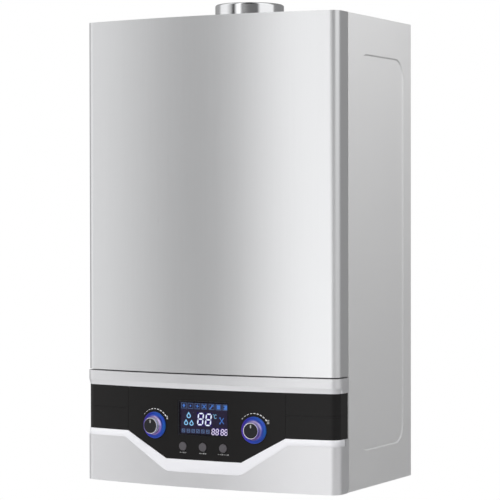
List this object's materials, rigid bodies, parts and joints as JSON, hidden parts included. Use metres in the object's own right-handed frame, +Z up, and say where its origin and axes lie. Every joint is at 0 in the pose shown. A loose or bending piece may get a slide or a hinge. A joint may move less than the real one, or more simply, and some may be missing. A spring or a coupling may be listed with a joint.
{
  "type": "gas boiler",
  "caption": "Wall-hung gas boiler in a silver case with a bowed front cover, a drop-down control section with display, knobs and buttons, and a round flue collar on top.",
  "frame": {"origin": "on the wall plane, midway between the two fixing holes of the wall bracket", "axes": "+X to the right as seen from the front, +Y into the wall, +Z up; the front faces -Y"},
  "size_m": [0.453, 0.3104, 0.788],
  "materials": {
    "brushed_silver": "brushed",
    "side_paint": "satin",
    "silver_plastic": "satin",
    "black_gloss": "satin",
    "white_trim": "gloss",
    "smoked_window": "gloss",
    "display_glow": "gloss",
    "board_green": "matte",
    "ring_blue": "gloss",
    "chrome": "polished",
    "black_matte": "matte",
    "button_grey": "satin",
    "galvanised": "spangled",
    "steel": "satin",
    "polished_alloy": "polished",
    "brass": "satin",
    "copper": "satin",
    "white_fibre": "matte",
    "white_ceramic": "gloss",
    "alloy": "cast",
    "stainless": "satin",
    "vessel_red": "gloss",
    "pump_body": "painted",
    "rubber": "matte",
    "nylon": "matte",
    "red_plastic": "gloss",
    "grey_plastic": "matte"
  },
  "bodies": {
    "case": {"wall_bracket": "galvanised", "wall_spacers": "rubber", "back_frame": "galvanised", "side_panel_left": "side_paint", "side_panel_right": "side_paint", "top_plate": "side_paint", "bottom_plate": "galvanised", "case_screws": "steel", "flue_collar": "polished_alloy", "flue_pipe": "alloy", "cable_gland": "black_matte", "cover_pegs": "steel", "hinge_pins": "steel", "combustion_chamber": "galvanised", "chamber_cover": "galvanised", "chamber_insulation": "white_fibre", "burner": "stainless", "gas_manifold": "steel", "electrodes": "white_ceramic", "spark_generator": "black_matte", "heat_exchanger": "copper", "flue_hood": "alloy", "fan_housing": "galvanised", "fan_motor": "steel", "air_pressure_switch": "grey_plastic", "heating_pipes": "copper", "flow_block": "brass", "return_block": "brass", "diverter_motor": "black_matte", "pump_body": "pump_body", "plate_exchanger": "stainless", "expansion_vessel": "vessel_red", "vessel_pipe": "copper", "gas_valve": "alloy", "gas_pipe": "copper"},
    "cover": {"front_cover": "brushed_silver", "cover_clips": "nylon"},
    "control_panel": {"control_front": "silver_plastic", "control_housing": "grey_plastic", "control_board": "board_green", "panel_screws": "steel", "fascia_center": "black_gloss", "fascia_ends": "black_gloss", "fascia_trim": "white_trim", "display_window": "smoked_window", "display_module": "display_glow", "knob_rings": "ring_blue", "encoders": "grey_plastic"},
    "left_knob": {"knob_left": "chrome", "knob_cap_left": "black_matte"},
    "right_knob": {"knob_right": "chrome", "knob_cap_right": "black_matte"},
    "left_button": {"button_left": "button_grey"},
    "middle_button": {"button_middle": "button_grey"},
    "right_button": {"button_right": "button_grey"},
    "impeller": {"fan_impeller": "steel"},
    "rotor": {"pump_rotor": "black_matte"},
    "stem": {"diverter_stem": "steel"},
    "relief": {"relief_cap": "red_plastic"},
    "tap": {"filling_tap": "black_matte"}
  },
  "joints": [
    {"name": "cover_off", "type": "slide", "parent": "case", "child": "cover", "axis": [0, -1, 0], "range_m": [0, 0.12]},
    {"name": "panel_drop", "type": "hinge", "parent": "case", "child": "control_panel", "pos_m": [0, -0.243, -0.705], "axis": [1, 0, 0], "range_deg": [0, 80]},
    {"name": "left_knob_turn", "type": "hinge", "parent": "control_panel", "child": "left_knob", "pos_m": [-0.08897, -0.29639, -0.615], "axis": [-0.0698, -0.9976, 0], "range_deg": [-60, 60]},
    {"name": "right_knob_turn", "type": "hinge", "parent": "control_panel", "child": "right_knob", "pos_m": [0.08897, -0.29639, -0.615], "axis": [0.0698, -0.9976, 0], "range_deg": [-60, 60]},
    {"name": "left_button_press", "type": "slide", "parent": "control_panel", "child": "left_button", "axis": [0, 1, 0], "range_m": [0, 0.0012], "stiffness_N_per_m": 900, "springref_m": -0.001},
    {"name": "middle_button_press", "type": "slide", "parent": "control_panel", "child": "middle_button", "axis": [0, 1, 0], "range_m": [0, 0.0012], "stiffness_N_per_m": 900, "springref_m": -0.001},
    {"name": "right_button_press", "type": "slide", "parent": "control_panel", "child": "right_button", "axis": [0, 1, 0], "range_m": [0, 0.0012], "stiffness_N_per_m": 900, "springref_m": -0.001},
    {"name": "fan_spin", "type": "hinge", "parent": "case", "child": "impeller", "pos_m": [-0.028, -0.14, -0.085], "axis": [0, 1, 0], "continuous": true},
    {"name": "pump_spin", "type": "hinge", "parent": "case", "child": "rotor", "pos_m": [0.13, -0.1025, -0.6], "axis": [0, 1, 0], "continuous": true},
    {"name": "diverter_lift", "type": "slide", "parent": "case", "child": "stem", "axis": [0, 0, 1], "range_m": [0, 0.008]},
    {"name": "relief_turn", "type": "hinge", "parent": "case", "child": "relief", "pos_m": [0.098, -0.14, -0.681], "axis": [0, -1, 0], "range_deg": [0, 90]},
    {"name": "tap_turn", "type": "hinge", "parent": "case", "child": "tap", "pos_m": [0.098, -0.095, -0.71], "axis": [0, 0, 1], "range_deg": [0, 90]}
  ]
}
